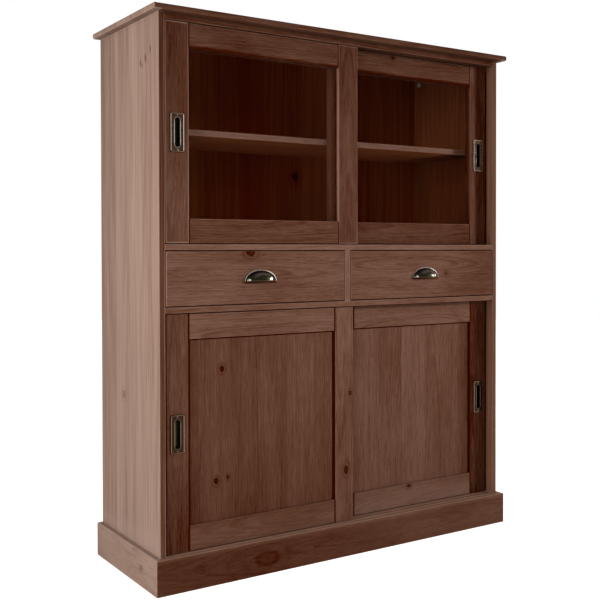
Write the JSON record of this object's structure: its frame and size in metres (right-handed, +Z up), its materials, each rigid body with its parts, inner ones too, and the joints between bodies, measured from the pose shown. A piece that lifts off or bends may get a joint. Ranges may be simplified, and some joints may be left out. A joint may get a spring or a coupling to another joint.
{
  "type": "display cabinet",
  "caption": "Stained pine display cabinet with glazed sliding doors over a drawer row and panelled sliding doors below, on a plinth.",
  "frame": {"origin": "bottom centre of the overall box, on the floor", "axes": "+Z up, -Y towards the front with the doors and drawers, +X to the right seen from the front"},
  "size_m": [1.188, 0.405, 1.45],
  "materials": {
    "pine": "satin walnut stain on pine",
    "drawer_pine": "plain sanded pine",
    "back_ply": "stained plywood",
    "glass": "clear float glass",
    "brass": "antique brass",
    "nylon": "moulded nylon",
    "zinc": "die-cast zinc",
    "beech": "fluted beech"
  },
  "bodies": {
    "carcass": {"base_board": "pine", "base_shelf": "pine", "cam_locks": "zinc", "carcass_dowels": "beech", "display_deck": "pine", "display_shelf": "pine", "drawer_deck": "pine", "drawer_divider": "pine", "drawer_runners": "drawer_pine", "left_side_panel": "pine", "lower_back_panel": "back_ply", "plinth_front": "pine", "plinth_left": "pine", "plinth_right": "pine", "right_side_panel": "pine", "top_board": "pine", "top_track_rail": "pine", "upper_back_panel": "back_ply"},
    "upper_left_door": {"upper_left_door_bottom_rail": "pine", "upper_left_door_flush_pull": "brass", "upper_left_door_glass": "glass", "upper_left_door_glazing_beads": "pine", "upper_left_door_glides": "nylon", "upper_left_door_left_stile": "pine", "upper_left_door_right_stile": "pine", "upper_left_door_top_rail": "pine"},
    "upper_right_door": {"upper_right_door_bottom_rail": "pine", "upper_right_door_flush_pull": "brass", "upper_right_door_glass": "glass", "upper_right_door_glazing_beads": "pine", "upper_right_door_glides": "nylon", "upper_right_door_left_stile": "pine", "upper_right_door_right_stile": "pine", "upper_right_door_top_rail": "pine"},
    "lower_left_door": {"lower_left_door_bottom_rail": "pine", "lower_left_door_flush_pull": "brass", "lower_left_door_glides": "nylon", "lower_left_door_left_stile": "pine", "lower_left_door_panel": "pine", "lower_left_door_right_stile": "pine", "lower_left_door_top_rail": "pine"},
    "lower_right_door": {"lower_right_door_bottom_rail": "pine", "lower_right_door_flush_pull": "brass", "lower_right_door_glides": "nylon", "lower_right_door_left_stile": "pine", "lower_right_door_panel": "pine", "lower_right_door_right_stile": "pine", "lower_right_door_top_rail": "pine"},
    "left_drawer": {"left_drawer_back": "drawer_pine", "left_drawer_bottom": "drawer_pine", "left_drawer_cup_pull": "brass", "left_drawer_front": "pine", "left_drawer_left_side": "drawer_pine", "left_drawer_right_side": "drawer_pine"},
    "right_drawer": {"right_drawer_back": "drawer_pine", "right_drawer_bottom": "drawer_pine", "right_drawer_cup_pull": "brass", "right_drawer_front": "pine", "right_drawer_left_side": "drawer_pine", "right_drawer_right_side": "drawer_pine"}
  },
  "joints": [
    {"name": "upper_left_door_slide", "type": "slide", "parent": "carcass", "child": "upper_left_door", "axis": [1, 0, 0], "range_m": [0, 0.516]},
    {"name": "upper_right_door_slide", "type": "slide", "parent": "carcass", "child": "upper_right_door", "axis": [1, 0, 0], "range_m": [-0.516, 0]},
    {"name": "lower_left_door_slide", "type": "slide", "parent": "carcass", "child": "lower_left_door", "axis": [1, 0, 0], "range_m": [0, 0.532]},
    {"name": "lower_right_door_slide", "type": "slide", "parent": "carcass", "child": "lower_right_door", "axis": [1, 0, 0], "range_m": [-0.532, 0]},
    {"name": "left_drawer_slide", "type": "slide", "parent": "carcass", "child": "left_drawer", "axis": [0, -1, 0], "range_m": [0, 0.26]},
    {"name": "right_drawer_slide", "type": "slide", "parent": "carcass", "child": "right_drawer", "axis": [0, -1, 0], "range_m": [0, 0.26]}
  ]
}
